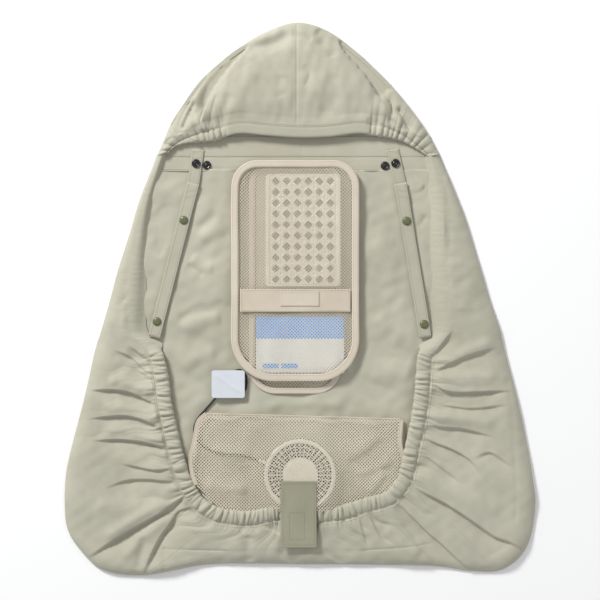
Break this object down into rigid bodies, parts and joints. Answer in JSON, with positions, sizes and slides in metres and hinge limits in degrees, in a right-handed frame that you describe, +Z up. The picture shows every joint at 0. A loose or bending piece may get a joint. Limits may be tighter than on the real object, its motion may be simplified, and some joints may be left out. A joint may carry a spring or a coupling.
{
  "type": "baby carrier cape",
  "caption": "Hooded cloth cape for a baby carrier, laid flat lining side up, with folded-in gathered edges, snap straps, a net gel pouch and a net pocket with a flat fan.",
  "frame": {"origin": "centre of the bounding box's floor rectangle, on the surface that the cape lies on", "axes": "+Y from the bottom hem towards the hood's crown, +Z up from the surface, +X to the right when seen from above with the hood at the top"},
  "size_m": [0.684, 0.804, 0.0255],
  "materials": {
    "shell_cloth": "fine plain-weave cotton and nylon cloth, khaki, soft matt with a slight sheen",
    "elastic": "woven elastic, off-white",
    "binding": "cream twill tape",
    "net": "beige knitted net with a diamond mesh",
    "gel_mat": "cream soft gel sheet",
    "gel_pack": "printed film pouch, satin",
    "black_snap": "moulded snap, satin black",
    "olive_snap": "moulded snap, satin olive",
    "fan_plastic": "moulded plastic, warm white, fine texture",
    "black_plastic": "flexible black plastic",
    "steel": "plain turned steel",
    "hook_tape": "hook tape",
    "loop_tape": "loop tape",
    "tag": "white woven satin label, blank"
  },
  "bodies": {
    "root": {"back_panel": "shell_cloth", "neck_band": "shell_cloth", "bottom_skirt": "shell_cloth", "bottom_casing": "shell_cloth", "bottom_elastic": "elastic", "hood_left_gather": "shell_cloth", "hood_right_gather": "shell_cloth", "left_spare_snap_stud": "black_snap", "right_spare_snap_stud": "black_snap", "pouch_back_net": "net", "pouch_back_binding": "binding", "pouch_front_binding": "binding", "pouch_front_net": "net", "gel_mat": "gel_mat", "pouch_band": "binding", "pouch_band_patch": "binding", "fan_back_housing": "fan_plastic", "fan_motor": "black_plastic", "fan_grille": "fan_plastic", "fan_hub_cap": "fan_plastic", "fan_pocket_net": "net", "fan_pocket_left_binding": "binding", "fan_pocket_right_binding": "binding", "skirt_loop_patch": "loop_tape", "lead_strain_relief": "black_plastic", "fan_lead": "black_plastic", "plug_body": "black_plastic", "plug_tip": "steel"},
    "hood": {"hood_back": "shell_cloth", "hood_left_panel": "shell_cloth", "hood_right_panel": "shell_cloth", "hood_seam_tape": "shell_cloth", "hood_hem": "shell_cloth"},
    "rotor": {"fan_impeller": "fan_plastic", "fan_shaft": "steel"},
    "pack": {"gel_pack": "gel_pack"},
    "tab": {"closure_tab": "shell_cloth", "tab_hook_patch": "hook_tape"},
    "tag": {"cable_tag": "tag"},
    "left_wing_body": {"left_wing": "shell_cloth", "left_casing": "shell_cloth", "left_elastic": "elastic"},
    "left_strap": {"left_short_strap": "shell_cloth", "left_long_strap": "shell_cloth", "left_black_snap_cap": "black_snap", "left_upper_olive_cap": "olive_snap", "left_upper_olive_socket": "olive_snap", "left_lower_olive_cap": "olive_snap", "left_lower_olive_socket": "olive_snap"},
    "right_wing_body": {"right_wing": "shell_cloth", "right_casing": "shell_cloth", "right_elastic": "elastic"},
    "right_strap": {"right_short_strap": "shell_cloth", "right_long_strap": "shell_cloth", "right_black_snap_cap": "black_snap", "right_upper_olive_cap": "olive_snap", "right_upper_olive_socket": "olive_snap", "right_lower_olive_cap": "olive_snap", "right_lower_olive_socket": "olive_snap"}
  },
  "joints": [
    {"name": "fan_spin", "type": "hinge", "parent": "root", "child": "rotor", "pos_m": [0, -0.253, 0.009], "axis": [0, 0, 1], "continuous": true},
    {"name": "hood_fold", "type": "hinge", "parent": "root", "child": "hood", "pos_m": [0, 0.237, 0.002], "axis": [1, 0, 0], "range_deg": [0, 90]},
    {"name": "left_wing_open", "type": "hinge", "parent": "root", "child": "left_wing_body", "pos_m": [-0.213, 0.19, 0.0023], "axis": [-0.2653, -0.9642, 0], "range_deg": [0, 35]},
    {"name": "right_wing_open", "type": "hinge", "parent": "root", "child": "right_wing_body", "pos_m": [0.213, 0.19, 0.0023], "axis": [-0.2653, 0.9642, 0], "range_deg": [0, 35]},
    {"name": "left_strap_lift", "type": "hinge", "parent": "root", "child": "left_strap", "pos_m": [-0.148, 0.2212, 0.003], "axis": [-1, 0, 0], "range_deg": [0, 80]},
    {"name": "right_strap_lift", "type": "hinge", "parent": "root", "child": "right_strap", "pos_m": [0.134, 0.2212, 0.003], "axis": [-1, 0, 0], "range_deg": [0, 80]},
    {"name": "gel_pack_slide", "type": "slide", "parent": "root", "child": "pack", "axis": [0, -1, 0], "range_m": [0, 0.05]},
    {"name": "tab_lift", "type": "hinge", "parent": "root", "child": "tab", "pos_m": [-0.002, -0.261, 0.0199], "axis": [-1, 0, 0], "range_deg": [0, 150]},
    {"name": "tag_lift", "type": "hinge", "parent": "root", "child": "tag", "pos_m": [-0.1275, -0.122, 0.0026], "axis": [0, -1, 0], "range_deg": [0, 80]}
  ]
}
